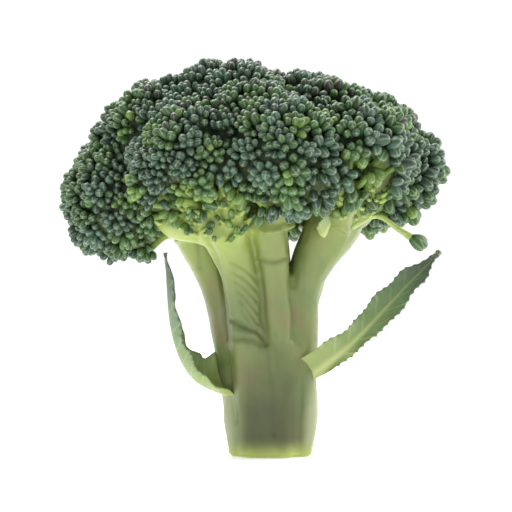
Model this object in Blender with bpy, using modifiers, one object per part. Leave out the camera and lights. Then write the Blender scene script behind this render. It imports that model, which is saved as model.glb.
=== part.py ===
"""A head of broccoli that stands on its cut end, modelled in metres with +Z up.

The origin is the centre of the cut face. The front is -Y, and the crown is widest along X.
The stalk grows as one piece: a short trunk whose branches are fused at the bottom and part
higher up. Each branch carries florets, the leaves and the bract grow from the stalk's side,
and a small sprig hangs under the crown on the right.
"""

import math
from collections import namedtuple

import bmesh
import bpy
from mathutils import Matrix, Vector
from mathutils.bvhtree import BVHTree
from mathutils.geometry import interpolate_bezier

MM = 0.001

# Driving dimensions, in millimetres.
GAP = 0.35  # between pieces that touch in the real head
TRUNK_HEIGHT = 48.0
BELOW_CUT = 4.0  # how far the trunk and its branches run on before they are cut flat
TRUNK_RADII = (12.0, 13.2, 14.6, 14.8, 11.0)  # from the cut face to the top of the trunk
TRUNK_DEPTH_SHARE = 0.92  # the trunk is a little narrower front to back
TRUNK_SEGMENTS = 28
GROUND_SIZE = 60.0
POINTS_A_SPAN = 6  # along a branch or a midrib, from each of its points to the next
BRANCH_BEVEL = 5
SPRIG_BEVEL = 3
LEAF_THICKNESS = 1.2
LEAF_COLUMNS = 6
LOBE_SEGMENTS = 18
LOBE_RINGS = 11
ROOT_RADIUS = 5.0  # of the cone of short stems under a floret's lobe

BUD_GREEN = (0.040, 0.085, 0.045)
STALK_GREEN = (0.300, 0.360, 0.150)
LEAF_GREEN = (0.140, 0.230, 0.090)
BUD_ROUGHNESS = 0.45
STALK_ROUGHNESS = 0.5
LEAF_ROUGHNESS = 0.45

# A branch runs through four points, with a radius at each. It starts below the cut face.
Branch = namedtuple("Branch", "name points radii")
BRANCHES = (
    Branch("left", ((-8, -1, -4), (-12.5, -1, 36), (-17.5, -2, 57), (-26, -2, 74)), (4.5, 6, 6, 6.5)),
    Branch("front_left", ((-5, -6.5, -4), (-7.5, -8.5, 38), (-9.8, -12.5, 58), (-15.5, -18, 76)), (4.5, 6, 6, 8)),
    Branch("front", ((3, -7.5, -4), (3, -8.5, 36), (1.3, -12, 58), (-0.5, -18.5, 78)), (4.5, 5, 5.2, 5.8)),
    Branch("right", ((8, -2.5, -4), (9.7, -4, 36), (10.6, -5.5, 56), (22.5, -7, 78)), (4.5, 6, 6.2, 9)),
    Branch("back_right", ((7, 4.5, -4), (8.5, 5.5, 38), (12, 10, 56), (19, 18, 76)), (4.5, 6, 6, 6.5)),
    Branch("back", ((0, 7, -4), (0, 8.5, 38), (-1, 13, 58), (-2, 22, 76)), (4.5, 6, 6, 6.5)),
    Branch("back_left", ((-7, 4.5, -4), (-8.5, 6, 38), (-13, 10, 57), (-21, 17, 75)), (4.5, 6, 6, 6.5)),
    Branch("middle", ((0, 0, 6), (0, 0, 40), (-1, 1, 62), (-4, 1, 86)), (6, 8, 8, 8)),
)

# A ridge runs down the trunk from under each leaf to the cut face.
RIDGES = (
    Branch("left", ((-9.5, -3, -4), (-10.5, -3.5, 4), (-12, -4, 12), (-12.5, -4, 22)), (3.2, 3.2, 3, 2)),
    Branch("right", ((9.5, -4, -4), (10.5, -4.5, 4), (12, -5.5, 14), (12, -6.5, 28)), (3.4, 3.6, 3.8, 3)),
)

# A floret is a round lobe of buds on a cone of short stems that starts at its root.
Floret = namedtuple("Floret", "name centre radius root")
FLORETS = (
    Floret("left", (-46, -5, 83), 21.5, (-28, -2, 76)),
    Floret("front_left", (-25, -29, 93), 19.5, (-17, -19, 79)),
    Floret("front", (4, -34, 94), 19.5, (1, -20, 80)),
    Floret("front_right", (27, -26, 96), 18.5, (19, -13, 81)),
    Floret("right", (37, -2, 92), 19.5, (25.5, -5, 80)),
    Floret("back_right", (29, 25, 91), 20.5, (20, 19, 77)),
    Floret("back", (2, 35, 89), 20.5, (-1, 23, 77)),
    Floret("back_left", (-26, 30, 89), 20.5, (-20, 19, 76)),
    Floret("left_back", (-47, 14, 86), 19.5, (-31, 4, 76)),
    Floret("top_left", (-35, -7, 101), 21, (-23, -4, 86)),
    Floret("top_left_back", (-29, 17, 103), 20, (-19, 9, 87)),
    Floret("top", (-12, -3, 106), 22.5, (-5, 0, 88)),
    Floret("top_right", (13, -3, 103), 21.5, (6, -1, 87)),
    Floret("upper_right", (32, -1, 100), 19, (19, 0, 86)),
    Floret("upper_front", (-6, -23, 102), 19, (-4, -14, 87)),
    Floret("upper_back", (-4, 20, 104), 20, (-3, 12, 87)),
)

# A leaf starts on the stalk near its root and follows its midrib to the tip. Its half-widths run from
# the root to the tip, on each hand as seen from above. It rolls from the first angle to the second.
Leaf = namedtuple("Leaf", "name root midrib right_widths left_widths cup rolls")
LEAVES = (
    Leaf(
        "leaf_left",
        (-16, -7, 20),
        ((-24.5, -9, 26.5), (-31, -10.5, 41), (-33.2, -13.5, 65.5)),
        (6.0, 7.4, 5.6, 3.6, 2.8, 0.6),
        (3.0, 4.6, 4.4, 3.4, 2.6, 0.6),
        0.75,
        (-30, -8),
    ),
    Leaf(
        "leaf_right",
        (12, -10, 26),
        ((25.5, -14, 36.5), (39.5, -14, 51), (54.6, -9, 66)),
        (2.6, 3.0, 4.2, 6.2, 3.6, 0.5),
        (5.5, 5.8, 4.6, 5.0, 3.6, 0.5),
        0.35,
        (92, 84),
    ),
    Leaf(
        "bract_right",
        (17, -14, 67),
        ((18.5, -16, 69), (20, -17.5, 72), (20.5, -18, 76)),
        (1.4, 2.5, 3.0, 2.8, 2.2, 0.4),
        (1.4, 2.5, 3.0, 2.8, 2.2, 0.4),
        0.3,
        (0, 0),
    ),
)

# The sprig hangs from the right branch and ends in a small group of buds.
SPRIG = Branch(
    "sprig_right", ((22, -10, 73), (33, -18.5, 73.5), (40, -20, 71.5), (47, -20, 69)), (1.2, 1.1, 1.4, 3.2)
)


def clear_scene():
    """Removes everything that the startup file holds."""
    for thing in list(bpy.data.objects):
        bpy.data.objects.remove(thing)


def new_collection(name):
    """A collection linked to the scene."""
    collection = bpy.data.collections.new(name)
    bpy.context.scene.collection.children.link(collection)
    return collection


def skin(name, colour, roughness):
    """A plain plant skin of one colour."""
    material = bpy.data.materials.new(name)
    material.use_nodes = True
    shader = material.node_tree.nodes["Principled BSDF"]
    shader.inputs["Base Color"].default_value = (*colour, 1.0)
    shader.inputs["Roughness"].default_value = roughness
    shader.inputs["Metallic"].default_value = 0.0
    return material


def object_from(bm, name, collection):
    """Turns a bmesh into a smooth object in the collection."""
    mesh = bpy.data.meshes.new(name)
    bmesh.ops.recalc_face_normals(bm, faces=bm.faces)
    bm.to_mesh(mesh)
    bm.free()
    mesh.shade_smooth()
    made = bpy.data.objects.new(name, mesh)
    collection.objects.link(made)
    return made


def smooth_path(points):
    """Places in metres along one smooth curve through the given points in millimetres."""
    knots = [Vector(p) * MM for p in points]
    slopes = [knots[1] - knots[0]]
    slopes += [(after - before) / 2 for before, after in zip(knots, knots[2:])]
    slopes += [knots[-1] - knots[-2]]
    path = []
    for i in range(len(knots) - 1):
        start, end = knots[i], knots[i + 1]
        handles = start + slopes[i] / 3, end - slopes[i + 1] / 3
        span = interpolate_bezier(start, *handles, end, POINTS_A_SPAN)
        path += span if i == 0 else span[1:]
    return path


def blended(values, share):
    """The value at a share from 0 to 1 along evenly spaced values, eased between them."""
    place = share * (len(values) - 1)
    low = min(int(place), len(values) - 2)
    part = place - low
    part = part * part * (3 - 2 * part)
    return values[low] * (1 - part) + values[low + 1] * part


def tube(name, limb, collection, bevel=BRANCH_BEVEL, grow=0.0):
    """A closed mesh tube along a branch's points, thickened by grow."""
    path = smooth_path(limb.points)
    curve = bpy.data.curves.new(name, "CURVE")
    curve.dimensions = "3D"
    curve.bevel_depth = MM
    curve.bevel_resolution = bevel
    curve.use_fill_caps = True
    spline = curve.splines.new("POLY")
    spline.points.add(len(path) - 1)
    for i, place in enumerate(path):
        spline.points[i].co = (*place, 1.0)
        spline.points[i].radius = blended(limb.radii, i / (len(path) - 1)) + grow
    guide = bpy.data.objects.new(name + "_guide", curve)
    collection.objects.link(guide)
    graph = bpy.context.evaluated_depsgraph_get()
    mesh = bpy.data.meshes.new_from_object(guide.evaluated_get(graph))
    bpy.data.objects.remove(guide)
    bm = bmesh.new()
    bm.from_mesh(mesh)
    bpy.data.meshes.remove(mesh)
    bmesh.ops.remove_doubles(bm, verts=bm.verts, dist=1e-6)
    return object_from(bm, name, collection)


def as_helper(thing):
    """Keeps a cutter or a joined piece out of the render."""
    thing.hide_render = True
    thing.display_type = "WIRE"
    return thing


def boolean(target, other, operation):
    """Adds an exact Boolean with another object to the target."""
    modifier = target.modifiers.new(operation.lower(), "BOOLEAN")
    modifier.operation = operation
    modifier.solver = "EXACT"
    modifier.object = other


def cut_flat(bm, point, outward):
    """Removes what lies beyond a plane and closes the cut with one flat face."""
    everything = bm.verts[:] + bm.edges[:] + bm.faces[:]
    bmesh.ops.bisect_plane(bm, geom=everything, plane_co=point, plane_no=outward, clear_outer=True, dist=1e-7)
    rim = [edge for edge in bm.edges if edge.is_boundary]
    if rim:
        bmesh.ops.contextual_create(bm, geom=rim)


def trunk_section(bm, height, radius):
    """A ring of the trunk's outline, flattened a little front to back."""
    squash = Matrix.Diagonal((1.0, TRUNK_DEPTH_SHARE, 1.0, 1.0))
    place = Matrix.Translation((0.0, 0.0, height * MM)) @ squash
    ring = bmesh.ops.create_circle(bm, segments=TRUNK_SEGMENTS, radius=radius * MM, matrix=place)
    return ring["verts"]


def build_trunk(name, collection, grow=0.0):
    """The trunk, lofted through rings of its radii and thickened by grow."""
    bm = bmesh.new()
    rings = []
    for i in range(2 * len(TRUNK_RADII) - 1):
        share = i / (2 * len(TRUNK_RADII) - 2)
        height = share * (TRUNK_HEIGHT + BELOW_CUT) - BELOW_CUT
        rings.append(trunk_section(bm, height, blended(TRUNK_RADII, share) + grow))
    for lower, upper in zip(rings, rings[1:]):
        edges = {edge for vert in lower + upper for edge in vert.link_edges}
        bmesh.ops.bridge_loops(bm, edges=list(edges & ring_edges(lower) | edges & ring_edges(upper)))
    bm.faces.new(rings[0])
    bm.faces.new(rings[-1])
    return object_from(bm, name, collection)


def ring_edges(ring):
    """The edges whose two ends both lie in a ring."""
    members = set(ring)
    return {edge for vert in ring for edge in vert.link_edges if set(edge.verts) <= members}


def build_ground(collection):
    """A block whose top is the plane of the cut face."""
    bm = bmesh.new()
    half = GROUND_SIZE * MM / 2
    bmesh.ops.create_cube(bm, size=2 * half, matrix=Matrix.Translation((0, 0, -half)))
    return as_helper(object_from(bm, "ground", collection))


def build_stalk(parts, cutters):
    """The trunk joined to its branches and ridges, and cut flat at the bottom."""
    stalk = build_trunk("stalk", parts)
    stalk.data.materials.append(skin("stalk_skin", STALK_GREEN, STALK_ROUGHNESS))
    for limb in BRANCHES + RIDGES:
        shape = tube("limb_" + limb.name, limb, cutters)
        boolean(stalk, as_helper(shape), "UNION")
    boolean(stalk, build_ground(cutters), "DIFFERENCE")
    return stalk


def build_clearance(cutters):
    """The stalk grown by the gap, which makes room for it in the pieces around it."""
    whole = as_helper(build_trunk("room_trunk", cutters, grow=GAP))
    for limb in BRANCHES + RIDGES:
        shape = tube("room_" + limb.name, limb, cutters, grow=GAP)
        boolean(whole, as_helper(shape), "UNION")
    return whole


def part_from_neighbour(bm, floret, other):
    """Cuts a floret where its lobe meets a neighbour's, half a gap short of the middle."""
    centre, away = Vector(floret.centre), Vector(other.centre) - Vector(floret.centre)
    apart = away.length
    reach = (apart**2 + floret.radius**2 - other.radius**2) / (2 * apart) - GAP / 2
    outward = away.normalized()
    cut_flat(bm, (centre + outward * reach) * MM, outward)


def build_floret(floret, collection, clearance):
    """One floret: the hull of its lobe and its root, parted from its neighbours."""
    bm = bmesh.new()
    centre, root = Vector(floret.centre) * MM, Vector(floret.root) * MM
    turn = (centre - root).to_track_quat("Z", "Y").to_matrix().to_4x4()
    bmesh.ops.create_uvsphere(
        bm,
        u_segments=LOBE_SEGMENTS,
        v_segments=LOBE_RINGS,
        radius=floret.radius * MM,
        matrix=Matrix.Translation(centre) @ turn,
    )
    bmesh.ops.create_circle(
        bm, segments=LOBE_SEGMENTS // 2, radius=ROOT_RADIUS * MM, matrix=Matrix.Translation(root) @ turn
    )
    bmesh.ops.delete(bm, geom=bm.edges[:], context="EDGES_FACES")
    hull = bmesh.ops.convex_hull(bm, input=bm.verts)
    bmesh.ops.delete(bm, geom=hull["geom_interior"], context="VERTS")
    for other in FLORETS:
        near = (Vector(other.centre) - Vector(floret.centre)).length < floret.radius + other.radius
        if other is not floret and near:
            part_from_neighbour(bm, floret, other)
    made = object_from(bm, "floret_" + floret.name, collection)
    made.data.materials.append(skin(made.name + "_skin", BUD_GREEN, BUD_ROUGHNESS))
    boolean(made, clearance, "DIFFERENCE")
    return made


def surface_tree(thing):
    """A search tree of an object's surface as evaluated."""
    return BVHTree.FromObject(thing, bpy.context.evaluated_depsgraph_get())


def leaf_root(tree, near):
    """The point just off the stalk's surface that is nearest to a place, in millimetres."""
    place, normal = tree.find_nearest(Vector(near) * MM)[:2]
    return tuple(place / MM + normal * (LEAF_THICKNESS / 2 + GAP))


def build_leaf(leaf, tree, clearance, collection):
    """A blade that cups round its midrib, thickened to a solid and cleared from the stalk."""
    points = (leaf_root(tree, leaf.root), *leaf.midrib)
    path = smooth_path(points)
    middle = path[len(path) // 2]
    inward = Vector((-middle.x, -middle.y, 0)).normalized()
    bm = bmesh.new()
    bmesh.ops.create_grid(bm, x_segments=LEAF_COLUMNS, y_segments=len(path) - 1, size=0.5)
    for vert in bm.verts:
        across, along = vert.co.x * 2, vert.co.y + 0.5
        row = round(along * (len(path) - 1))
        forward = (path[min(row + 1, len(path) - 1)] - path[max(row - 1, 0)]).normalized()
        turn = Matrix.Rotation(math.radians(blended(leaf.rolls, along)), 3, forward)
        side = turn @ forward.cross(inward).normalized()
        widths = leaf.right_widths if across > 0 else leaf.left_widths
        half = blended(widths, along) * MM
        vert.co = path[row] + side * across * half + side.cross(forward) * leaf.cup * half * across**2
    blade = object_from(bm, leaf.name, collection)
    blade.data.materials.append(skin(leaf.name + "_skin", LEAF_GREEN, LEAF_ROUGHNESS))
    solid = blade.modifiers.new("thickness", "SOLIDIFY")
    solid.thickness = LEAF_THICKNESS * MM
    solid.offset = 0.0
    boolean(blade, clearance, "DIFFERENCE")
    return blade


def build_sprig(clearance, collection):
    """The sprig's stem and buds as one tapered tube, cleared from the branch it grows from."""
    sprig = tube(SPRIG.name, SPRIG, collection, bevel=SPRIG_BEVEL)
    sprig.data.materials.append(skin("sprig_skin", BUD_GREEN, BUD_ROUGHNESS))
    boolean(sprig, clearance, "DIFFERENCE")


def main():
    clear_scene()
    parts = new_collection("broccoli_head")
    cutters = new_collection("cutters")
    cutters.hide_render = True
    stalk = build_stalk(parts, cutters)
    clearance = build_clearance(cutters)
    for floret in FLORETS:
        build_floret(floret, parts, clearance)
    tree = surface_tree(stalk)
    for leaf in LEAVES:
        build_leaf(leaf, tree, clearance, parts)
    build_sprig(clearance, parts)


main()
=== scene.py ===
"""The looks of a head of broccoli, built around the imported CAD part.

The crown is thousands of buds scattered over the CAD florets, on radial stems that fan out of the
stalk. The stalk, leaves, bract and sprig are finer skins that stand for their CAD solids.
Lengths are in metres. The front is -Y and the origin is the centre of the cut end.
"""

import math
from collections import namedtuple

import bmesh
import bpy
import numpy as np
from mathutils import Matrix, Vector, noise
from mathutils.bvhtree import BVHTree
from mathutils.geometry import interpolate_bezier
from mathutils.kdtree import KDTree


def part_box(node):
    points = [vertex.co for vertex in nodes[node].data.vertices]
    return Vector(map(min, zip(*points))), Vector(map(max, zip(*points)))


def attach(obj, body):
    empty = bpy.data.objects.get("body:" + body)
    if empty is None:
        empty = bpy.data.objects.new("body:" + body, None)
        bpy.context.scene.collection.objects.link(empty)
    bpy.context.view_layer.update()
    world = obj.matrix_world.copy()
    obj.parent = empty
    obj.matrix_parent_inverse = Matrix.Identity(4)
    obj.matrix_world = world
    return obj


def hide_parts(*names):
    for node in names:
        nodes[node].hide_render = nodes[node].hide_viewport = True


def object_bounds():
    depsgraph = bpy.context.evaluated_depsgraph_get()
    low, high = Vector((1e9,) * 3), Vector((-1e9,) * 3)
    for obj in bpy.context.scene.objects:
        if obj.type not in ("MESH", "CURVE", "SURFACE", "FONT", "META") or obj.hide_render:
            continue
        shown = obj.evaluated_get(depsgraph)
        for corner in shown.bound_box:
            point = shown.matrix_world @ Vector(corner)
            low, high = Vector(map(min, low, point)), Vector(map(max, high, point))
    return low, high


MM = 0.001
SEED = 20

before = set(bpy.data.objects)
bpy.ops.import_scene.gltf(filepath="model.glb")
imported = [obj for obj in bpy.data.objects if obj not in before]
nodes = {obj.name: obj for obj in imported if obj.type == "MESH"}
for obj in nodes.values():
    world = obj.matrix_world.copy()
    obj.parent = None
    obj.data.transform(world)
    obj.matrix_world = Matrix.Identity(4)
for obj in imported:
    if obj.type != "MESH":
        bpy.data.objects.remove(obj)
cad_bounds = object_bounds()
floret_names = sorted(name for name in nodes if name.startswith("floret_"))
rng = np.random.default_rng(SEED)


# ---------------------------------------------------------------- mesh helpers


def vertex_values(mesh, key):
    """The places ("co") or the ways out ("normal") of a mesh's vertices, one row each."""
    values = np.empty(len(mesh.vertices) * 3)
    mesh.vertices.foreach_get(key, values)
    return values.reshape(-1, 3)


def triangles_of(mesh):
    """The vertex indices of a mesh's triangles."""
    mesh.calc_loop_triangles()
    index = np.empty(len(mesh.loop_triangles) * 3, np.int32)
    mesh.loop_triangles.foreach_get("vertices", index)
    return index.reshape(-1, 3)


def corners_of(name):
    """A CAD node's triangles as an array of corner places."""
    mesh = nodes[name].data
    return vertex_values(mesh, "co")[triangles_of(mesh)]


def loose_triangles(corners):
    """Vertices and faces of separate triangles, from a list of corner places."""
    return corners.tolist(), np.arange(len(corners)).reshape(-1, 3).tolist()


def tree_of(names):
    """A search tree of several CAD nodes' surfaces."""
    corners = np.concatenate([corners_of(name) for name in names]).reshape(-1, 3)
    return BVHTree.FromPolygons(*loose_triangles(corners))


def linked(name, data):
    """A new object in the scene."""
    made = bpy.data.objects.new(name, data)
    bpy.context.scene.collection.objects.link(made)
    return made


def set_attributes(mesh, values):
    """Adds a point attribute for each named list of values."""
    for key, numbers in values.items():
        layer = mesh.attributes.new(key, "FLOAT", "POINT")
        layer.data.foreach_set("value", np.asarray(numbers, np.float32))


def piece_of(name, verts, faces, slot, replaced=(), **values):
    """A smooth object of the faces, with a point attribute for each named list of values."""
    mesh = bpy.data.meshes.new(name)
    mesh.from_pydata(verts, [], faces)
    mesh.shade_smooth()
    set_attributes(mesh, values)
    made = linked(name, mesh)
    place(made, replaced)
    return made


def place(piece, replaced=()):
    """Hangs a piece on the root body and hides the CAD nodes that it stands for."""
    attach(piece, "root")
    if replaced:
        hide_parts(*replaced)


def remeshed(source, voxel, smoothing):
    """A fine even skin over an object, with its creases softened."""
    modifier = source.modifiers.new("skin", "REMESH")
    modifier.mode = "VOXEL"
    modifier.voxel_size = voxel
    soft = source.modifiers.new("soften", "SMOOTH")
    soft.factor = 0.5
    soft.iterations = smoothing
    mesh = bpy.data.meshes.new_from_object(source.evaluated_get(bpy.context.evaluated_depsgraph_get()))
    source.modifiers.clear()
    return mesh


def smooth_path(points, count):
    """Places along one smooth curve through the points, with a count of them from each to the next."""
    knots = [Vector(p) for p in points]
    slopes = [knots[1] - knots[0]]
    slopes += [(after - before) / 2 for before, after in zip(knots, knots[2:])]
    slopes += [knots[-1] - knots[-2]]
    path = []
    for i in range(len(knots) - 1):
        handles = knots[i] + slopes[i] / 3, knots[i + 1] - slopes[i + 1] / 3
        span = interpolate_bezier(knots[i], *handles, knots[i + 1], count)
        path += span if i == 0 else span[1:]
    return path


def tube_faces(path, radii, sides, first):
    """Vertices and faces of a closed tube along a path, with the vertices counted from first."""
    verts, faces = [], []
    across = (path[-1] - path[0]).orthogonal().normalized()
    for i, centre in enumerate(path):
        ahead = (path[min(i + 1, len(path) - 1)] - path[max(i - 1, 0)]).normalized()
        across = (across - ahead * across.dot(ahead)).normalized()
        other = ahead.cross(across)
        for k in range(sides):
            turn = 2 * math.pi * k / sides
            verts.append(centre + (across * math.cos(turn) + other * math.sin(turn)) * radii[i])
    for i in range(len(path) - 1):
        low, high = first + i * sides, first + (i + 1) * sides
        for k in range(sides):
            after = (k + 1) % sides
            faces.append((low + k, low + after, high + after, high + k))
    last = first + (len(path) - 1) * sides
    faces.append(tuple(range(first + sides - 1, first - 1, -1)))
    faces.append(tuple(range(last, last + sides)))
    return verts, faces


class Tubes:
    """Closed tubes gathered into one mesh, with a value for each vertex that runs along its tube."""

    def __init__(self):
        self.verts, self.faces, self.along = [], [], []

    def add(self, path, radii, sides, along=(0.0, 1.0)):
        """Adds a tube with a radius in millimetres at each place on its path."""
        verts, faces = tube_faces(path, np.array(radii) * MM, sides, len(self.verts))
        self.verts += verts
        self.faces += faces
        self.along += np.repeat(np.linspace(*along, len(path)), sides).tolist()


def blended(values, share):
    """The value at a share from 0 to 1 along evenly spaced values, eased between them."""
    at = share * (len(values) - 1)
    low = min(int(at), len(values) - 2)
    part = at - low
    part = part * part * (3 - 2 * part)
    return values[low] * (1 - part) + values[low + 1] * part


def blended_along(values, path):
    """The blended values at each place on a path."""
    return [blended(values, i / (len(path) - 1)) for i in range(len(path))]


def in_box(node, shares):
    """The place at shares of the sides of a CAD node's box."""
    low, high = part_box(node)
    return Vector([a + (b - a) * share for a, b, share in zip(low, high, shares)])


def root_of(name, stalk):
    """The corner of a floret that is nearest to the stalk's surface."""
    corners = corners_of(name).reshape(-1, 3)
    apart = [stalk.find_nearest(Vector(corner))[3] for corner in corners]
    return Vector(corners[int(np.argmin(apart))])


def random_turns(count):
    """Angles all round, in radians."""
    return rng.uniform(0, 2 * math.pi, count)


# ---------------------------------------------------------------- the crown's buds

BUD_SIDES = 12
BUD_RINGS = (0.0, 0.18, 0.42, 0.64, 0.82, 0.94)
BUD_RADII = (0.60, 0.88, 1.0, 0.97, 0.80, 0.50)
SEPALS = 4
SEAM_DEPTH = 0.24
BUD_WIDTH = 2.95 * MM
BUD_LENGTH = 4.1 * MM
BUD_SPACING = 0.76  # of the bud's width
WIDER_RIGHT, WIDER_BY = 50.0 * MM, 0.24  # buds grow wider up to this far right, by this share
CLUSTER_SPACING = 7.0 * MM
CLUSTER_DOME = 1.25  # how far a cluster's outer buds sit below its middle one, in mm
CLUSTER_FAN = 0.50  # how far they lean outwards
BUD_SUNK = 0.75  # the share of its length that a bud reaches below the crown's surface
CANDIDATES = 110000  # places tried on the whole crown
BARE_HOLLOW, BARE_BELOW = 0.97, 0.9  # the chance of no bud in a hollow, and under the crown
STALK_CLEAR = 9.0 * MM
TONES, HUES = 6, 4
BLUE, GREEN, YELLOW, GREY = 0.1, 0.3, 0.6, 0.9  # a bud's hue, one in each of the HUES steps
GREENER_BELOW, GREYER_ABOVE = 88.0 * MM, 100.0 * MM  # heights in the crown
FLORET_OVERLAP = 1.04  # widens each floret so that the valleys between them close
CROWN_VOXEL = 1.5 * MM
DOME_SMOOTHING = 70
DOME_GROWTH = -1.0 * MM  # drawn in, so that the tips of the buds end near the CAD box
CORE_DEPTH = 3.8 * MM
HOLLOW_DEPTH = 9.0 * MM

# The hollows under the crown's front, where buds are few and the stems show. Each is placed in a
# floret's box by shares of its sides, and has a radius.
Hollow = namedtuple("Hollow", "floret shares radius")
HOLLOWS = (
    Hollow("floret_front_left", (0.62, 0.35, 0.02), 13.5 * MM),
    Hollow("floret_front_left", (0.95, 0.30, 0.06), 9.0 * MM),
    Hollow("floret_front_right", (0.42, 0.32, 0.04), 9.0 * MM),
    Hollow("floret_front_right", (0.62, 0.20, 0.25), 9.5 * MM),
)


def crown_surface():
    """One lumpy dome over all the florets, with their valleys filled, as places, ways out and faces."""
    corners = []
    for name in floret_names:
        mine = corners_of(name)
        middle = mine.reshape(-1, 3).mean(axis=0)
        corners.append(middle + (mine - middle) * FLORET_OVERLAP)
    verts, faces = loose_triangles(np.concatenate(corners).reshape(-1, 3))
    mesh = bpy.data.meshes.new("dome")
    mesh.from_pydata(verts, [], faces)
    rough = linked("dome", mesh)
    fine = remeshed(rough, CROWN_VOXEL, DOME_SMOOTHING)
    bpy.data.objects.remove(rough)
    ways = vertex_values(fine, "normal")
    return vertex_values(fine, "co") + ways * DOME_GROWTH, ways, triangles_of(fine)


def openness(places):
    """From 0 to 1: how far each place lies inside one of the hollows."""
    most = np.zeros(len(places))
    for hollow in HOLLOWS:
        middle = np.array(in_box(hollow.floret, hollow.shares))
        apart = np.linalg.norm(places - middle, axis=1) / hollow.radius
        most = np.maximum(most, np.clip((1.15 - apart) / 0.3, 0, 1))
    return most


def random_spots(dome):
    """Random places all over the dome, with the way out at each."""
    corners_at, ways_at, faces = dome
    sides = corners_at[faces]
    areas = np.linalg.norm(np.cross(sides[:, 1] - sides[:, 0], sides[:, 2] - sides[:, 0]), axis=1)
    pick = rng.choice(len(faces), CANDIDATES, p=areas / areas.sum())
    one, two = rng.uniform(size=(2, CANDIDATES, 1))
    flip = one + two > 1
    one, two = np.where(flip, 1 - one, one), np.where(flip, 1 - two, two)
    shares = np.stack([1 - one - two, one, two], axis=1)
    spots = (corners_at[faces[pick]] * shares).sum(axis=1)
    outward = (ways_at[faces[pick]] * shares).sum(axis=1)
    return spots, outward / np.linalg.norm(outward, axis=1)[:, None]


def scatter(dome):
    """Places for buds, with the way out at each and its nearest floret. Few are in the hollows or below."""
    spots, outward = random_spots(dome)
    chance = rng.uniform(0, 1, CANDIDATES)
    downward = np.clip(-outward[:, 2] * 1.2, 0, 1)
    bare = openness(spots) * BARE_HOLLOW + np.clip((downward - 0.55) / 0.4, 0, BARE_BELOW)
    keep = chance > np.clip(bare, 0, 0.985)
    spots, outward = spots[keep], outward[keep]
    stalk = tree_of(["stalk"])
    clear = np.array([stalk.find_nearest(Vector(spot))[3] for spot in spots]) > STALK_CLEAR
    spots, outward = spots[clear], outward[clear]
    trees = [tree_of([name]) for name in floret_names]
    gaps = np.array([[tree.find_nearest(Vector(spot))[3] for tree in trees] for spot in spots])
    return spots, outward, gaps.argmin(axis=1)


def spaced(places, gaps, order):
    """The indices of places that keep their gaps, taken greedily in the given order."""
    cells = np.floor(places / float(gaps.max())).astype(int).tolist()
    around = [(a, b, c) for a in (-1, 0, 1) for b in (-1, 0, 1) for c in (-1, 0, 1)]
    spots, wide = places.tolist(), gaps.tolist()
    grid, kept = {}, []

    def is_free(i):
        x, y, z = cells[i]
        px, py, pz = spots[i]
        for a, b, c in around:
            for qx, qy, qz, other in grid.get((x + a, y + b, z + c), ()):
                least = (other + wide[i]) / 2
                if (qx - px) ** 2 + (qy - py) ** 2 + (qz - pz) ** 2 < least * least:
                    return False
        return True

    for i in order.tolist():
        if is_free(i):
            grid.setdefault(tuple(cells[i]), []).append((*spots[i], wide[i]))
            kept.append(i)
    return np.array(kept)


def field(places, size, offset=0.0):
    """Smooth noise, mostly between -1 and 1, at the places, with bumps of the given size."""
    shift = Vector((offset, offset * 2, -offset))
    return np.array([noise.noise(Vector(p) / size + shift) for p in places]) * 1.6


def bud_template():
    """Vertices, triangles and per-vertex values of one bud that points along +Z from the origin."""
    verts, along, seam = [], [], []
    for height, radius in zip(BUD_RINGS, BUD_RADII):
        for k in range(BUD_SIDES):
            turn = 2 * math.pi * k / BUD_SIDES
            on_seam = k % (BUD_SIDES // SEPALS) == 0
            reach = radius / 2 * (1 - SEAM_DEPTH * on_seam * height)
            verts.append((reach * math.cos(turn), reach * math.sin(turn), height))
            along.append(height)
            seam.append(float(on_seam))
    verts += [(0, 0, 1.0), (0, 0, -0.05)]
    along += [1.0, 0.0]
    seam += [1.0, 0.0]
    top, bottom = len(verts) - 2, len(verts) - 1
    faces = []
    for i in range(len(BUD_RINGS) - 1):
        for k in range(BUD_SIDES):
            after = (k + 1) % BUD_SIDES
            low, high = i * BUD_SIDES, (i + 1) * BUD_SIDES
            faces.append((low + k, low + after, high + after))
            faces.append((low + k, high + after, high + k))
    last = (len(BUD_RINGS) - 1) * BUD_SIDES
    faces += [(last + k, last + (k + 1) % BUD_SIDES, top) for k in range(BUD_SIDES)]
    faces += [((k + 1) % BUD_SIDES, k, bottom) for k in range(BUD_SIDES)]
    return np.array(verts), np.array(faces), np.array(along), np.array(seam)


def bud_corner_map(faces, along):
    """Where each corner of a bud's triangles lies on its patch: round the bud, then along it."""
    spots = np.empty((len(faces), 3, 2))
    for i, face in enumerate(faces):
        rounds = [(v % BUD_SIDES) / BUD_SIDES for v in face if v < BUD_SIDES * len(BUD_RINGS)]
        if max(rounds) - min(rounds) > 0.5:
            rounds = [r + 1.0 if r < 0.5 else r for r in rounds]
        rounds += [sum(rounds) / len(rounds)] * (3 - len(rounds))
        spots[i, :, 0] = rounds
        spots[i, :, 1] = [along[v] for v in face]
        if len(set(along[list(face)])) == 1:
            spots[i, 2, 1] += 0.02
    return spots


def frames_for(ways, turns):
    """A matrix for each way that takes +Z to it, spun by the turns."""
    ahead = ways / np.linalg.norm(ways, axis=1)[:, None]
    help_axis = np.where(np.abs(ahead[:, 2:]) < 0.9, [[0.0, 0.0, 1.0]], [[1.0, 0.0, 0.0]])
    side = np.cross(help_axis, ahead)
    side /= np.linalg.norm(side, axis=1)[:, None]
    other = np.cross(ahead, side)
    c, s = np.cos(turns)[:, None], np.sin(turns)[:, None]
    return np.stack([side * c + other * s, other * c - side * s, ahead], axis=2)


def middle_of_step(shares, steps):
    """Shares from 0 to 1, each moved to the middle of its step."""
    return (np.clip((shares * steps).astype(int), 0, steps - 1) + 0.5) / steps


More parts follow.
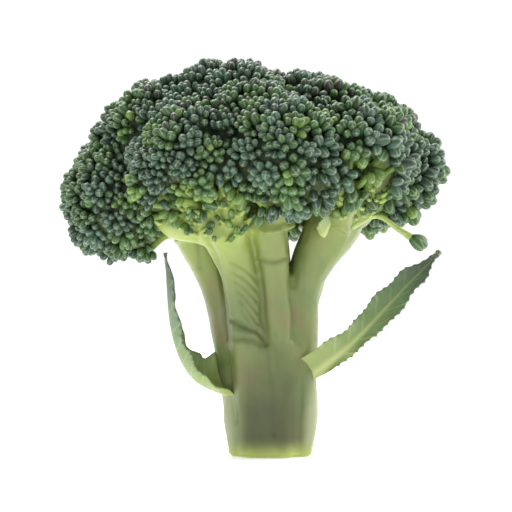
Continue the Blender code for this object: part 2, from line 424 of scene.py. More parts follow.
def buds_piece(name, bases, ways, widths, lengths, tones, hues, replaced=()):
    """One object of many buds. Buds of one tone and hue share a patch of the piece's map."""
    verts, faces, along, seam = bud_template()
    count = len(bases)
    shape = np.stack([widths, widths, lengths], axis=1)[:, None, :] * verts[None]
    turned = np.einsum("bij,bvj->bvi", frames_for(ways, random_turns(count)), shape) + bases[:, None]
    index = (faces[None] + (np.arange(count) * len(verts))[:, None, None]).reshape(-1, 3)
    tone = middle_of_step(tones, TONES)
    hue = middle_of_step(hues, HUES)
    piece = piece_of(
        name,
        turned.reshape(-1, 3).tolist(),
        index.tolist(),
        "buds",
        replaced,
        along=np.tile(along, count),
        seam=np.tile(seam, count),
        tone=np.repeat(tone, len(verts)),
        hue=np.repeat(hue, len(verts)),
    )
    spots = bud_corner_map(faces, along).reshape(1, -1, 2)
    corner = np.stack([tone - 0.5 / TONES, hue - 0.5 / HUES], axis=1)[:, None]
    patch = np.array([1 / TONES, 1 / HUES])
    spread = corner + patch * (0.06 + spots * [0.80, 0.84])
    map_layer = piece.data.uv_layers.new(name="OFBake")
    map_layer.data.foreach_set("uv", spread.astype(np.float32).ravel())
    piece.data.materials.append(materials["buds"])
    return piece


# ---------------------------------------------------------------- materials


def node_material(name, specular=0.5):
    """A new material, its node tree and its shader."""
    material = bpy.data.materials.new(name)
    material.use_nodes = True
    tree = material.node_tree
    shader = tree.nodes["Principled BSDF"]
    shader.inputs["Specular IOR Level"].default_value = specular
    return material, tree, shader


def srgb(red, green, blue):
    """A colour given as a screen shows it, as the shader's linear value."""
    linear = [((c / 255 + 0.055) / 1.055) ** 2.4 if c > 10 else c / 255 / 12.92 for c in (red, green, blue)]
    return (*linear, 1.0)


def add(tree, kind, values=None, **settings):
    """A new node with its settings and its named or numbered inputs filled."""
    node = tree.nodes.new(kind)
    for key, value in settings.items():
        setattr(node, key, value)
    for key, value in (values or {}).items():
        if isinstance(value, bpy.types.NodeSocket):
            tree.links.new(value, node.inputs[key])
        else:
            node.inputs[key].default_value = value
    return node


def ramp(tree, factor, stops):
    """A colour ramp through (position, colour) stops."""
    node = add(tree, "ShaderNodeValToRGB", {"Fac": factor})
    elements = node.color_ramp.elements
    while len(elements) < len(stops):
        elements.new(0.5)
    for element, (position, colour) in zip(elements, stops):
        element.position = position
        element.color = colour
    return node.outputs["Color"]


def hue_ramp(tree, hue, *colours):
    """A colour for each step of a bud's hue: blue, green, yellow and grey."""
    stops = [((i + 0.5) / HUES, srgb(*colour)) for i, colour in enumerate(colours)]
    return ramp(tree, hue, stops)


def mix(tree, factor, one, two):
    """Two colours mixed by a factor."""
    values = {"Factor": factor, "A": one, "B": two}
    return add(tree, "ShaderNodeMix", values, data_type="RGBA").outputs["Result"]


def attribute(tree, name):
    """The value of a point attribute."""
    return add(tree, "ShaderNodeAttribute", attribute_name=name).outputs["Fac"]


def grain(tree, where, scale, detail=3.0):
    """Noise at a scale."""
    return add(tree, "ShaderNodeTexNoise", {"Vector": where, "Scale": scale, "Detail": detail}).outputs["Fac"]


def math_node(tree, operation, one, two=0.0):
    """A math node's result, clamped to 0..1."""
    node = add(tree, "ShaderNodeMath", {0: one, 1: two}, operation=operation, use_clamp=True)
    return node.outputs[0]


def finish_shader(tree, shader, colour, varying, shine):
    """Gives the shader its colour, and a roughness that follows a value between the two of shine."""
    tree.links.new(colour, shader.inputs["Base Color"])
    rough = add(tree, "ShaderNodeMapRange", {"Value": varying, "To Min": shine[0], "To Max": shine[1]})
    tree.links.new(rough.outputs["Result"], shader.inputs["Roughness"])


def bump(tree, shader, height, strength, distance):
    """Drives the shader's normal from a height."""
    node = add(tree, "ShaderNodeBump", {"Height": height, "Strength": strength, "Distance": distance})
    tree.links.new(node.outputs["Normal"], shader.inputs["Normal"])


def heights(tree, one, one_share, two, two_share):
    """Two heights added in the given shares."""
    first = math_node(tree, "MULTIPLY", one, one_share)
    second = math_node(tree, "MULTIPLY", two, two_share)
    return math_node(tree, "ADD", first, second)


def bud_material():
    """Dark blue-green buds with pale seams that are sepal edges with a painted rim highlight, a few lighter
    or greyer ones, and bases that turn greener and carry painted shade between the buds.
    """
    material, tree, shader = node_material("buds_skin", specular=0.4)
    tone, hue = attribute(tree, "tone"), attribute(tree, "hue")
    along, seam = attribute(tree, "along"), attribute(tree, "seam")
    where = add(tree, "ShaderNodeUVMap", uv_map="OFBake").outputs["UV"]
    dark = hue_ramp(tree, hue, (22, 40, 32), (32, 58, 30), (58, 88, 36), (48, 52, 46))
    light = hue_ramp(tree, hue, (78, 106, 86), (80, 112, 64), (112, 142, 64), (84, 86, 78))
    body = mix(tree, tone, dark, light)
    mottle = grain(tree, where, 90.0)
    body = mix(tree, math_node(tree, "MULTIPLY", mottle, 0.5), body, light)
    # Towards its base a bud turns greener and, for the lighter buds, darker: green tissue with painted shade
    # between the buds.
    base = math_node(tree, "SUBTRACT", 1.0, math_node(tree, "MULTIPLY", along, 2.6))
    body = mix(tree, math_node(tree, "MULTIPLY", base, 0.8), body, srgb(46, 66, 36))
    # The pale seams: sepal edges, partly a painted rim highlight along them.
    edge = math_node(tree, "MULTIPLY", math_node(tree, "POWER", seam, 3.0), along)
    body = mix(tree, math_node(tree, "MULTIPLY", edge, 0.6), body, srgb(168, 190, 150))
    finish_shader(tree, shader, body, mottle, (0.36, 0.58))
    bump(tree, shader, mottle, 0.25, 0.2 * MM)
    return material


def stem_material():
    """Pale yellow-green stems, darker and greener towards their buds."""
    material, tree, shader = node_material("stems_skin")
    where = add(tree, "ShaderNodeTexCoord").outputs["Object"]
    along = attribute(tree, "along")
    colour = ramp(
        tree,
        along,
        [(0.0, srgb(196, 208, 136)), (0.5, srgb(172, 192, 104)), (1.0, srgb(98, 132, 62))],
    )
    patches = grain(tree, where, 260.0)
    colour = mix(tree, math_node(tree, "MULTIPLY", patches, 0.5), colour, srgb(110, 142, 60))
    finish_shader(tree, shader, colour, patches, (0.38, 0.6))
    bump(tree, shader, grain(tree, where, 900.0), 0.3, 0.2 * MM)
    return material


def core_material():
    """The green tissue seen deep between the buds, painted very dark with the shade that falls there."""
    material, tree, shader = node_material("core_skin")
    where = add(tree, "ShaderNodeTexCoord").outputs["Object"]
    patches = grain(tree, where, 420.0)
    # Painted shade: the tissue's green, darkened to the shade deep between the buds.
    colour = ramp(tree, patches, [(0.3, srgb(20, 34, 22)), (0.7, srgb(44, 66, 34))])
    colour = mix(tree, attribute(tree, "young"), colour, srgb(160, 176, 92))
    finish_shader(tree, shader, colour, patches, (0.5, 0.75))
    bump(tree, shader, patches, 0.5, 0.5 * MM)
    return material


def stalk_material():
    """Olive green skin with long streaks, brown tints and a bright band at the cut; painted shade low in the
    middle and in the folds, and painted rim light on the lower sides.
    """
    material, tree, shader = node_material("stalk_skin")
    where = add(tree, "ShaderNodeTexCoord").outputs["Object"]
    stretched = add(tree, "ShaderNodeMapping", {"Vector": where, "Scale": (1.0, 1.0, 0.12)})
    streaks = grain(tree, stretched.outputs["Vector"], 700.0, detail=4.0)
    patches = grain(tree, where, 75.0, detail=2.0)
    speckle = grain(tree, where, 2600.0, detail=2.0)
    colour = ramp(
        tree,
        patches,
        [(0.30, srgb(86, 108, 62)), (0.5, srgb(112, 126, 70)), (0.68, srgb(124, 116, 76))],
    )
    streaky = math_node(tree, "MULTIPLY", streaks, 0.45)
    colour = mix(tree, streaky, colour, srgb(142, 156, 94))
    colour = mix(tree, math_node(tree, "MULTIPLY", speckle, 0.22), colour, srgb(96, 110, 60))
    # Painted shade: darker low down in the middle of the stalk.
    colour = mix(tree, attribute(tree, "low"), colour, srgb(60, 62, 40))
    # Painted shade in the creases of the folds and wrinkles.
    colour = mix(tree, attribute(tree, "painted_groove_shade"), colour, srgb(78, 82, 46))
    # Painted rim light on the stalk's lower sides.
    colour = mix(tree, attribute(tree, "pale"), colour, srgb(174, 180, 142))
    colour = mix(tree, attribute(tree, "young"), colour, srgb(166, 182, 98))
    colour = mix(tree, attribute(tree, "band"), colour, srgb(184, 198, 106))
    colour = mix(tree, attribute(tree, "cut"), colour, srgb(206, 212, 160))
    finish_shader(tree, shader, colour, streaks, (0.36, 0.55))
    bump(tree, shader, heights(tree, streaks, 0.7, speckle, 0.3), 0.35, 0.4 * MM)
    return material


def leaf_material():
    """Green blades with a pale midrib and veins, going grey-purple at the tip."""
    material, tree, shader = node_material("leaf_skin")
    where = add(tree, "ShaderNodeTexCoord").outputs["Object"]
    vein, along = attribute(tree, "vein"), attribute(tree, "along")
    patches = grain(tree, where, 180.0)
    colour = ramp(
        tree,
        along,
        [
            (0.0, srgb(176, 188, 108)),
            (0.35, srgb(150, 170, 110)),
            (0.7, srgb(124, 148, 116)),
            (0.88, srgb(106, 116, 112)),
            (1.0, srgb(98, 92, 104)),
        ],
    )
    colour = mix(tree, math_node(tree, "MULTIPLY", patches, 0.5), colour, srgb(98, 128, 72))
    fade = math_node(tree, "SUBTRACT", 1.15, along)
    colour = mix(tree, math_node(tree, "MULTIPLY", vein, fade), colour, srgb(196, 206, 136))
    colour = mix(tree, attribute(tree, "tooth"), colour, srgb(74, 70, 66))
    finish_shader(tree, shader, colour, patches, (0.34, 0.52))
    height = heights(tree, vein, 0.6, grain(tree, where, 1400.0), 0.3)
    bump(tree, shader, height, 0.4, 0.4 * MM)
    return material


materials = {
    "buds": bud_material(),
    "stems": stem_material(),
    "core": core_material(),
    "stalk": stalk_material(),
    "leaf": leaf_material(),
}


# ---------------------------------------------------------------- the crown


def crown_layout(dome):
    """Every bud's place, way out, floret and width, and its cluster's middle bud."""
    places, ways, owners = scatter(dome)
    rightward = np.clip(places[:, 0] / WIDER_RIGHT, -0.3, 1)
    widths = BUD_WIDTH * (1 + 0.12 * field(places, 17 * MM, 3.0) + WIDER_BY * rightward)
    widths *= rng.uniform(0.80, 1.18, len(places))
    chosen = spaced(places, widths * BUD_SPACING, rng.permutation(len(places)))
    places, ways, owners, widths = places[chosen], ways[chosen], owners[chosen], widths[chosen]
    middles = spaced(places, np.full(len(places), CLUSTER_SPACING), rng.permutation(len(places)))
    finder = KDTree(len(middles))
    for i in middles.tolist():
        finder.insert(Vector(places[i]), i)
    finder.balance()
    nearest = np.array([finder.find(Vector(p))[1] for p in places])
    return places, ways, owners, widths, nearest


def bud_colours(places, nearest, opened):
    """Every bud's tone and hue. A cluster's buds are alike, and the hollows are greener and lighter."""
    count = len(places)
    frontward = np.clip(-places[:, 1] / (20 * MM), 0, 1)
    low = np.clip((GREENER_BELOW - places[:, 2]) / (12 * MM), 0, 1) * frontward
    tones = 0.40 + 0.20 * rng.normal(0, 1, count)[nearest] + rng.normal(0, 0.16, count) + 0.2 * opened
    greens = rng.uniform(0, 1, count)[nearest] + rng.normal(0, 0.07, count)
    greens += 0.45 * opened + 0.05 * low
    hues = np.where(greens < 0.58, BLUE, np.where(greens < 0.98, GREEN, YELLOW))
    high = np.clip((places[:, 2] - GREYER_ABOVE) / (20 * MM), 0, 1)
    hues = np.where(rng.uniform(0, 1, count) < 0.22 * high, GREY, hues)
    return tones, hues


def grow_crown(dome):
    """The buds of each floret. Returns what the stems under them need."""
    places, ways, owners, widths, nearest = crown_layout(dome)
    count = len(places)
    reach = CLUSTER_SPACING * 0.5
    sideways = places - places[nearest]
    sideways -= ways * np.einsum("ij,ij->i", sideways, ways)[:, None]
    share = np.linalg.norm(sideways, axis=1) / reach
    proud = rng.normal(0.0, 0.6, count)[nearest]
    lift = (1.0 - CLUSTER_DOME * share**2 + proud + field(places, 12 * MM, 9.0)) * MM
    aim = ways + sideways / reach * CLUSTER_FAN + rng.normal(0, 0.16, places.shape)
    aim /= np.linalg.norm(aim, axis=1)[:, None]
    lengths = BUD_LENGTH * rng.uniform(0.85, 1.15, count) * widths / BUD_WIDTH
    bases = places + ways * lift[:, None] - aim * lengths[:, None] * BUD_SUNK
    opened = openness(places)
    tones, hues = bud_colours(places, nearest, opened)
    for k, name in enumerate(floret_names):
        mine = owners == k
        look = tones[mine], hues[mine]
        buds_piece(name + "_buds", bases[mine], aim[mine], widths[mine], lengths[mine], *look, [name])
    return bases, ways, owners, nearest, opened


def grow_core(dome):
    """The tissue under the buds: the dome drawn inwards, and further in at the hollows."""
    places, ways, faces = dome
    opened = openness(places)
    depth = CORE_DEPTH + HOLLOW_DEPTH * opened
    drawn = places - ways * depth[:, None]
    young = np.clip(opened + 0.3 * np.clip(-ways[:, 2], 0, 1), 0, 1)
    core = piece_of("crown_core", drawn.tolist(), faces.tolist(), "buds", young=young)
    core.data.materials.append(materials["core"])


def grow_stems(bases, ways, owners, nearest, opened):
    """Stems from each floret's root to its clusters, and from them to the buds over the hollows."""
    stalk = tree_of(["stalk"])
    for k, name in enumerate(floret_names):
        root = root_of(name, stalk)
        tubes = Tubes()
        for i in sorted(set(nearest[owners == k].tolist())):
            tip = Vector(bases[i]) + Vector(ways[i]) * 0.5 * MM
            bend = root.lerp(tip, 0.5) - Vector(ways[i]) * 2.0 * MM
            path = smooth_path([root, bend, tip], 6)
            tubes.add(path, np.linspace(1.9, 0.9, len(path)), 8)
            if opened[i] < 0.05:
                continue
            for j in np.flatnonzero((nearest == i) & (owners == k)).tolist():
                bud = Vector(bases[j])
                twig = smooth_path([path[6], path[9].lerp(bud, 0.4), bud], 4)
                tubes.add(twig, np.linspace(0.7, 0.5, len(twig)), 6, (0.4, 1.0))
        stems = piece_of(name + "_stems", tubes.verts, tubes.faces, "stalk", along=tubes.along)
        stems.data.materials.append(materials["stems"])


# ---------------------------------------------------------------- the stalk

VOXEL = 0.6 * MM
SKIN_SMOOTHING = 24
LIMB_START, LIMB_END = 6.2, 2.4  # a limb's radii, in mm
LIMB_SIDES = 16

# Folds in the stalk's front, as (across, up) points. Each has a width, a depth and how dark its painted
# crease shade is, all but the last in millimetres.
Fold = namedtuple("Fold", "points width depth dark")
FOLDS = (
    Fold(((-20, 71), (-16.6, 63), (-15, 54), (-14, 44), (-13.4, 38)), 0.8, 0.8, 0.6),
    Fold(((-6.6, 71), (-4.4, 63), (-2.6, 54), (-2.3, 46), (-0.8, 37)), 1.0, 0.5, 0.35),
    Fold(((4.6, 73), (6.4, 62), (6.0, 54), (7.3, 46), (7.0, 38)), 0.8, 0.4, 0.35),
    Fold(((-22.7, 70), (-22.6, 61)), 0.7, 0.5, 0.6),
    Fold(((-3.6, 63.4), (0.8, 62.8), (5.6, 63.9)), 0.7, 0.6, 0.5),
    Fold(((-13.4, 44.4), (-10, 43.2), (-6.6, 41.6), (-3.6, 40.2), (-1.2, 36.6)), 0.9, 0.9, 0.55),
    Fold(((-12, 38.2), (-8, 38.8), (-3, 37.0)), 1.1, 0.45, 0.3),
    Fold(((-12.8, 42), (-12.2, 28), (-11, 12)), 0.9, 0.5, 0.2),
    Fold(((-0.8, 36), (0.8, 22), (1.2, 8)), 0.9, 0.5, 0.2),
)
WRINKLES = 6


def wrinkles():
    """The curved wrinkles across the front-left branch, one under another."""
    made = []
    for i in range(WRINKLES):
        start = (-12.4 + 0.7 * i, 62.6 - 3.0 * i)
        middle = (-8.4 + 0.3 * i, 60.8 - 3.3 * i)
        end = (-4.6 + 0.2 * i, 57.4 - 3.6 * i)
        # Each wrinkle also gets painted shade in its crease.
        made.append(Fold((start, middle, end), 0.55, 0.40, 0.30))
    return made


def near_fold(across, up, fold):
    """How close each place is to a fold, from 0 to 1 on its line."""
    flat = [(x, 0.0, z) for x, z in fold.points]
    line = np.array([(p.x, p.z) for p in smooth_path(flat, 8)])
    best = np.full(len(across), 1e9)
    for one, two in zip(line, line[1:]):
        run = two - one
        share = np.clip(((across - one[0]) * run[0] + (up - one[1]) * run[1]) / (run @ run), 0, 1)
        gap = np.hypot(across - one[0] - share * run[0], up - one[1] - share * run[1])
        best = np.minimum(best, gap)
    return np.exp(-((best / fold.width) ** 2))


# The thick arms seen in the hollows, placed in a floret's box by shares of its sides, with radii in mm.
Arm = namedtuple("Arm", "floret points radii")
ARMS = (
    Arm(
        "floret_front_left",
        ((0.93, 0.85, -0.14), (0.70, 0.74, 0.0), (0.46, 0.74, 0.01), (0.22, 0.86, 0.08)),
        (6.0, 6.0, 4.8, 2.8),
    ),
    Arm(
        "floret_front_left",
        ((0.85, 0.80, -0.05), (0.62, 0.62, 0.10), (0.50, 0.45, 0.22)),
        (5.0, 3.6, 2.2),
    ),
    Arm(
        "floret_front_left",
        ((0.93, 0.80, -0.05), (0.92, 0.60, 0.12), (0.88, 0.42, 0.24)),
        (5.4, 4.0, 2.4),
    ),
    Arm(
        "floret_front_right",
        ((0.28, 0.90, -0.06), (0.36, 0.66, 0.08), (0.40, 0.48, 0.24)),
        (3.8, 2.6, 1.5),
    ),
    Arm(
        "floret_front_right",
        ((0.45, 1.05, -0.02), (0.58, 0.72, 0.14), (0.62, 0.50, 0.30)),
        (4.4, 3.4, 2.0),
    ),
)


def arm_path(arm, count):
    """The places along an arm."""
    return smooth_path([in_box(arm.floret, shares) for shares in arm.points], count)


def limbs():
    """The arms, and short thick limbs from the branch ends into the florets, as tubes."""
    stalk = tree_of(["stalk"])
    tubes = Tubes()
    for arm in ARMS:
        path = arm_path(arm, 6)
        tubes.add(path, blended_along(arm.radii, path), LIMB_SIDES)
    for name in floret_names:
        root = root_of(name, stalk)
        surface, outward, *_ = stalk.find_nearest(root)
        start = surface - outward * 4.0 * MM
        low, high = (Vector(corner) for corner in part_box(name))
        end = root.lerp((low + high) / 2, 0.75)
        path = smooth_path([start, root, end], 6)
        tubes.add(path, np.linspace(LIMB_START, LIMB_END, len(path)), LIMB_SIDES)
    return tubes


FRINGE = 30  # twigs on each arm
FRINGE_BUD = 2.0 * MM


def fringe_twig(path, radii, turn, share, long):
    """A short curved twig on an arm, at a share of its path, turned round it."""
    height = math.sin(turn)
    out = Vector((math.cos(turn), -0.5 - 0.5 * abs(height), 0.9 * height + 0.25)).normalized()
    start = path[int(share * (len(path) - 1))] + out * blended(radii, share) * 0.8 * MM
    tip = start + (out + Vector((0, 0, 0.5))) * long * MM
    bend = start.lerp(tip, 0.5) + Vector((0, -0.8, -0.6)) * MM
    return smooth_path([start, bend, tip], 5)


def grow_fringe():
    """Short curved twigs with small buds on the arms in the hollows."""
    tubes = Tubes()
    bases, aims = [], []
    for arm in ARMS:
        path = arm_path(arm, 12)
        turns = random_turns(FRINGE)
        shares = rng.uniform(0.15, 1, FRINGE)
        lengths = rng.uniform(2, 5.5, FRINGE)
        for turn, share, long in zip(turns, shares, lengths):
            twig = fringe_twig(path, arm.radii, turn, share, long)
            tubes.add(twig, np.linspace(0.75, 0.5, len(twig)), 7, (0.1, 0.8))
            aim = (twig[-1] - twig[-3]).normalized()
            bases.append(twig[-1] - aim * 0.3 * MM)
            aims.append(aim)
    twigs = piece_of("fringe_twigs", tubes.verts, tubes.faces, "stalk", along=tubes.along)
    twigs.data.materials.append(materials["stems"])
    count = len(bases)
    widths = FRINGE_BUD * rng.uniform(0.75, 1.25, count)
    hues = np.where(rng.uniform(0, 1, count) < 0.45, YELLOW, GREEN)
    tones = rng.uniform(0.2, 0.8, count)
    buds_piece("fringe_buds", np.array(bases), np.array(aims), widths, widths * 1.25, tones, hues)


def stalk_body():
    """The CAD stalk and its limbs as one fine skin."""
    base, base_faces = loose_triangles(corners_of("stalk").reshape(-1, 3))
    tubes = limbs()
    limb_faces = [[v + len(base) for v in face] for face in tubes.faces]
    mesh = bpy.data.meshes.new("stalk_skin")
    mesh.from_pydata(base + [tuple(v) for v in tubes.verts], [], base_faces + limb_faces)
    welded = bmesh.new()
    welded.from_mesh(mesh)
    bmesh.ops.remove_doubles(welded, verts=welded.verts, dist=1e-6)
    welded.to_mesh(mesh)
    welded.free()
    skin = linked("stalk_skin", mesh)
    skin.data = remeshed(skin, VOXEL, SKIN_SMOOTHING)
    return skin


def fold_values(x, z, front):
    """How deep the folds and wrinkles are, and how dark their painted crease shade is, at each place, in mm
    and from 0 to 1.
    """
    depth, dark = np.zeros(len(x)), np.zeros(len(x))
    for fold in (*FOLDS, *wrinkles()):
        close = near_fold(x, z, fold) * front
        depth = np.maximum(depth, close * fold.depth)
        dark = np.maximum(dark, close * fold.dark)
    return depth, dark


def stalk_shades(x, y, z, ragged):
    """How far each tint, the painted shade and the painted rim light show at places on the stalk, given in
    millimetres.
    """
    side = np.abs(x)
    # Painted rim light: paler on the stalk's lower sides, towards the front.
    rim_light_mask = np.clip((side - 9.6 - 0.05 * z) / 2.4, 0, 1) * np.clip((30 - z) / 14, 0, 1)
    left_branch = np.clip((-2 - x) / 3, 0, 1)
    return {
        # low: painted shade, darker low down in the middle of the stalk.
        "low": np.clip((38 - z) / 22, 0, 1) * np.clip((12.0 - side) / 5, 0, 1) * 0.66,
        "pale": rim_light_mask * np.clip((3 - y) / 8, 0, 1) * 0.85,
        "young": np.clip((z - 50) / 22, 0, 1) * (0.3 + 0.6 * left_branch),
        "band": np.clip((7.0 + 0.3 * ragged - z) / 5.5, 0, 1) ** 2 * 0.9,
        "cut": np.clip((0.35 - z) / 0.3, 0, 1),
    }


def stalk_skin():
    """The stalk as one fine skin, with its limbs, lumps, folds and rounded edge, its tints, painted shade and
    painted rim light.
    """
    skin = stalk_body()
    mesh = skin.data
    places, ways = vertex_values(mesh, "co"), vertex_values(mesh, "normal")
    x, y, z = places.T / MM
    front = np.clip(-ways[:, 1] * 2.5, 0, 1) * np.clip((2 - y) / 4, 0, 1)
    depth, dark = fold_values(x, z, front)
    lumps = field(places * [1, 1, 0.22], 5 * MM, 1.0) * 0.22 + field(places, 2.4 * MM, 5.0) * 0.06
    below_scar = 0.9 * np.exp(-(((x + 7.5) / 5) ** 2 + ((z - 37) / 5) ** 2)) * front
    off_floor = np.clip(z / 1.2, 0, 1)
    moved = (lumps + below_scar - depth) * off_floor * MM
    rounding = (1 - off_floor) ** 2 * 0.5 * MM
    places = places + ways * moved[:, None] - ways * [1, 1, 0] * rounding[:, None]
    mesh.vertices.foreach_set("co", places.astype(np.float32).ravel())
    mesh.update()
    set_attributes(mesh, {"painted_groove_shade": dark, **stalk_shades(x, y, z, field(places, 3 * MM, 7.0))})
    mesh.shade_smooth()
    mesh.materials.append(materials["stalk"])
    place(skin, ["stalk"])


# ---------------------------------------------------------------- leaves and sprig

LEAF_ROWS, LEAF_COLUMNS = 170, 36
TOOTH_GAP = 2.5  # mm along the edge
VEIN_GAP = 0.105  # of the leaf's length

# A leaf's midrib is placed in its CAD box by shares of the box's sides. Half-widths run from the root to
# the tip on each hand, in millimetres, and it rolls from the first angle to the second.
Leaf = namedtuple("Leaf", "node midrib right_widths left_widths cup rolls first_tooth")
LEAVES = (
    Leaf(
        "leaf_left",
        ((1.05, 0.80, 0.02), (0.45, 0.43, 0.16), (0.135, 0.31, 0.47), (0.03, 0.08, 1.0)),
        (9.5, 9.0, 6.2, 3.6, 2.6, 0.2),
        (2.6, 4.4, 4.4, 3.4, 2.5, 0.2),
        0.75,
        (-30, -8),
        0.30,
    ),
    Leaf(
        "leaf_right",
        ((0.03, 1.15, 0.0), (0.357, 0.51, 0.30), (0.66, 0.51, 0.64), (0.985, 0.93, 0.99)),
        (1.0, 2.6, 3.8, 6.0, 4.6, 0.3),
        (7.0, 5.8, 4.0, 5.0, 4.4, 0.3),
        0.30,
        (92, 84),
        0.22,
    ),
    Leaf(
        "bract_right",
        ((0.10, 1.10, 0.55), (0.35, 0.65, 0.80), (0.62, 0.35, 1.10), (0.78, 0.25, 1.50)),
        (1.2, 2.4, 2.9, 2.7, 2.2, 0.6),
        (1.2, 2.4, 2.9, 2.7, 2.2, 0.6),
        0.55,
        (0, 0),
        1.0,
    ),
)


def vein_at(along_mm, out_mm, length):
    """How strongly a vein shows, from 0 to 1, at a distance along the midrib and out from it."""
    gap = length * VEIN_GAP
    midrib = math.exp(-((out_mm / (0.45 + 1.1 * (1 - along_mm / length) ** 2)) ** 2))
    wiggle = 0.5 * noise.noise(Vector((along_mm * 0.35, out_mm * 0.7, 3.0)))
    phase = (along_mm - abs(out_mm) * 1.25 + wiggle) / gap + (0.5 if out_mm > 0 else 0)
    branch = math.exp(-(((phase - round(phase)) * gap / 0.30) ** 2)) * 0.6
    return max(midrib, branch if along_mm > length * 0.2 else 0.0)


def leaf_point(leaf, share, across, length):
    """How far out and up a leaf's place is from its midrib, in mm, and how much it is a tooth."""
    half = blended(leaf.right_widths if across > 0 else leaf.left_widths, share)
    at = share * length / TOOTH_GAP + (0.37 if across > 0 else 0)
    size = 0.55 + 0.45 * noise.noise(Vector((round(at) * 1.7, across, 2.0)))
    point = max(0.0, 1 - abs(at - round(at)) * 3.2) * size if share > leaf.first_tooth else 0.0
    out = across * half + math.copysign(point * 0.9 * abs(across) ** 10, across)
    ruffle = 0.55 * abs(across) ** 3 * math.sin(share * length * 0.55 + across)
    return out, leaf.cup * half * across**2 + ruffle, point * abs(across) ** 10


def sheet_faces(rows, columns):
    """The faces of a closed sheet: its top, then its underside, and the edge between them."""
    wide = columns + 1
    under = rows * wide
    faces = []
    for row in range(rows - 1):
        for column in range(columns):
            a = row * wide + column
            faces.append((a, a + 1, a + wide + 1, a + wide))
            faces.append((under + a, under + a + wide, under + a + wide + 1, under + a + 1))
        left, right = row * wide, row * wide + columns
        faces.append((left, left + wide, under + left + wide, under + left))
        faces.append((right, under + right, under + right + wide, right + wide))
    for column in range(columns):
        last = (rows - 1) * wide + column
        faces.append((column, under + column, under + column + 1, column + 1))
        faces.append((last, last + 1, under + last + 1, under + last))
    return faces


def build_leaf(leaf):
    """A toothed blade that cups round a thick midrib, with a raised net of veins."""
    knots = [in_box(leaf.node, shares) for shares in leaf.midrib]
    path = smooth_path(knots, LEAF_ROWS // 3 + 1)
    rows = len(path)
    length = sum((b - a).length for a, b in zip(path, path[1:])) / MM
    middle = path[rows // 2]
    inward = Vector((-middle.x, -middle.y, 0)).normalized()
    tops, bottoms, along, vein, tooth = [], [], [], [], []
    for row, centre in enumerate(path):
        share = row / (rows - 1)
        forward = (path[min(row + 1, rows - 1)] - path[max(row - 1, 0)]).normalized()
        turn = Matrix.Rotation(math.radians(blended(leaf.rolls, share)), 3, forward)
        side = turn @ forward.cross(inward).normalized()
        up = side.cross(forward)
        for column in range(LEAF_COLUMNS + 1):
            across = column / LEAF_COLUMNS * 2 - 1
            out, rise, toothed = leaf_point(leaf, share, across, length)
            shows = vein_at(share * length, out, length)
            flat = centre + (side * out + up * rise) * MM
            thick = 0.42 + 1.5 * (1 - share) ** 1.5 * math.exp(-((out / 1.6) ** 2))
            tops.append(flat + up * (0.16 + 0.12 * shows) * MM)
            bottoms.append(flat - up * thick * MM)
            along.append(share)
            vein.append(shows)
            tooth.append(toothed)
    faces = sheet_faces(rows, LEAF_COLUMNS)
    values = {"along": along * 2, "vein": vein * 2, "tooth": tooth * 2}
    blade = piece_of(leaf.node + "_blade", tops + bottoms, faces, "leaf", [leaf.node], **values)
    blade.data.materials.append(materials["leaf"])


SPRIG_STEM = ((0.0, 0.95, 0.90), (0.35, 0.55, 1.30), (0.66, 0.34, 0.80), (0.86, 0.28, 0.45))
SPRIG_RADII = (1.1, 0.8, 0.9, 1.2)
SPRIG_AIMS = ((1.0, -0.1, -0.55), (0.75, -0.5, -0.9), (1.0, 0.5, -0.2))
SPRIG_BUD_WIDTH, SPRIG_BUD_LENGTH = 3.8 * MM, 6.0 * MM


def build_sprig():
    """The bent stem that hangs out on the right, with its few large buds."""
    path = smooth_path([in_box("sprig_right", shares) for shares in SPRIG_STEM], 10)
    tube = Tubes()
    tube.add(path, blended_along(SPRIG_RADII, path), 12, (0.0, 0.6))
    stem = piece_of("sprig_stem", tube.verts, tube.faces, "buds", ["sprig_right"], along=tube.along)
    stem.data.materials.append(materials["stems"])
    aims = np.array(SPRIG_AIMS)
    count = len(aims)
    bases = np.array(path[-1]) - aims * 0.8 * MM
    sizes = np.full(count, SPRIG_BUD_WIDTH), np.full(count, SPRIG_BUD_LENGTH)
    buds_piece("sprig_buds", bases, aims, *sizes, np.full(count, 0.75), np.full(count, GREEN))


# ---------------------------------------------------------------- scene

VIEW_DISTANCE = 0.620
VIEW_ACROSS = 0.1662  # what the picture's width spans at the object
VIEW_SHIFT = 0.93 * MM, 0.42 * MM  # how far right of and above the head's middle the camera looks
SENSOR = 36.0
FLOOR_RADIUS = 12.0

# The lamps face a place inside the crown.
LAMP_TARGET = (0, 0, 0.09)
Lamp = namedtuple("Lamp", "name position size power")
LAMPS = (
    Lamp("top", (-0.22, 0.22, 0.70), 0.45, 8.0),
    Lamp("side", (0.60, 0.15, 0.40), 0.40, 4.0),
)


def make_floor():
    """A wide pale floor at the cut end."""
    mesh = bpy.data.meshes.new("floor")
    bm = bmesh.new()
    bmesh.ops.create_circle(bm, cap_ends=True, segments=96, radius=FLOOR_RADIUS)
    bm.to_mesh(mesh)
    bm.free()
    floor = linked("floor", mesh)
    floor.location.z = -0.02 * MM
    material, _, shader = node_material("floor_paint", specular=0.0)
    shader.inputs["Roughness"].default_value = 0.9
    shader.inputs["Base Color"].default_value = (0.93, 0.93, 0.93, 1)
    shader.inputs["Emission Color"].default_value = (1, 1, 1, 1)
    shader.inputs["Emission Strength"].default_value = 0.35
    mesh.materials.append(material)


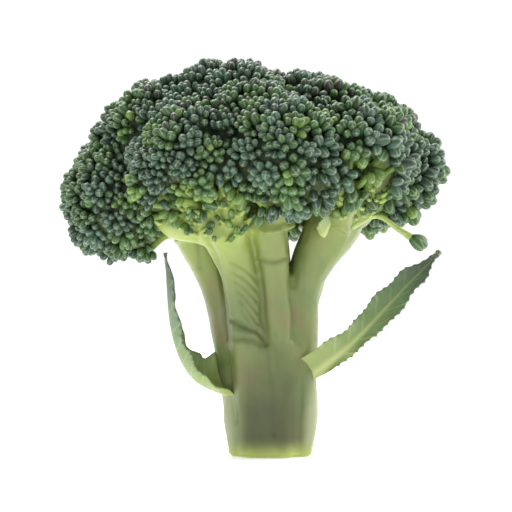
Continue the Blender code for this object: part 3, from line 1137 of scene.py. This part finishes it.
def make_world():
    """White surroundings, dimmer from the front, that the camera sees as plain white."""
    world = bpy.data.worlds.new("studio")
    world.use_nodes = True
    tree = world.node_tree
    tree.nodes.clear()
    where = add(tree, "ShaderNodeTexCoord").outputs["Generated"]
    depth = add(tree, "ShaderNodeSeparateXYZ", {"Vector": where}).outputs["Y"]
    limits = {"From Min": -1.0, "From Max": 0.6, "To Min": 0.36, "To Max": 1.1}
    gradient = add(tree, "ShaderNodeMapRange", {"Value": depth, **limits}).outputs["Result"]
    soft = add(tree, "ShaderNodeBackground", {"Color": (1, 1, 1, 1), "Strength": gradient})
    seen = add(tree, "ShaderNodeBackground", {"Color": (1, 1, 1, 1), "Strength": 1.05})
    camera_ray = add(tree, "ShaderNodeLightPath").outputs["Is Camera Ray"]
    both = add(tree, "ShaderNodeMixShader", {0: camera_ray, 1: soft.outputs[0], 2: seen.outputs[0]})
    add(tree, "ShaderNodeOutputWorld", {"Surface": both.outputs[0]})
    bpy.context.scene.world = world


def make_light(lamp):
    """A soft square lamp that faces its target."""
    data = bpy.data.lights.new(lamp.name, "AREA")
    data.size = lamp.size
    data.energy = lamp.power
    light = linked(lamp.name, data)
    light.location = lamp.position
    ahead = Vector(LAMP_TARGET) - Vector(lamp.position)
    light.rotation_euler = ahead.to_track_quat("-Z", "Y").to_euler()


def make_camera():
    """A level camera in front of the head, at half its height."""
    middle = (Vector(cad_bounds[0]) + Vector(cad_bounds[1])) / 2
    right, above = VIEW_SHIFT
    data = bpy.data.cameras.new("camera")
    data.sensor_width = SENSOR
    data.lens = SENSOR * VIEW_DISTANCE / VIEW_ACROSS
    data.clip_start, data.clip_end = 0.01, 50
    camera = linked("camera", data)
    camera.location = (middle.x + right, -VIEW_DISTANCE, middle.z + above)
    camera.rotation_euler = (math.pi / 2, 0, 0)
    bpy.context.scene.camera = camera


def main():
    make_camera()
    make_floor()
    make_world()
    for lamp in LAMPS:
        make_light(lamp)
    bpy.context.scene.view_settings.view_transform = "Standard"
    dome = crown_surface()
    layout = grow_crown(dome)
    grow_core(dome)
    grow_stems(*layout)
    grow_fringe()
    stalk_skin()
    for leaf in LEAVES:
        build_leaf(leaf)
    build_sprig()


main()
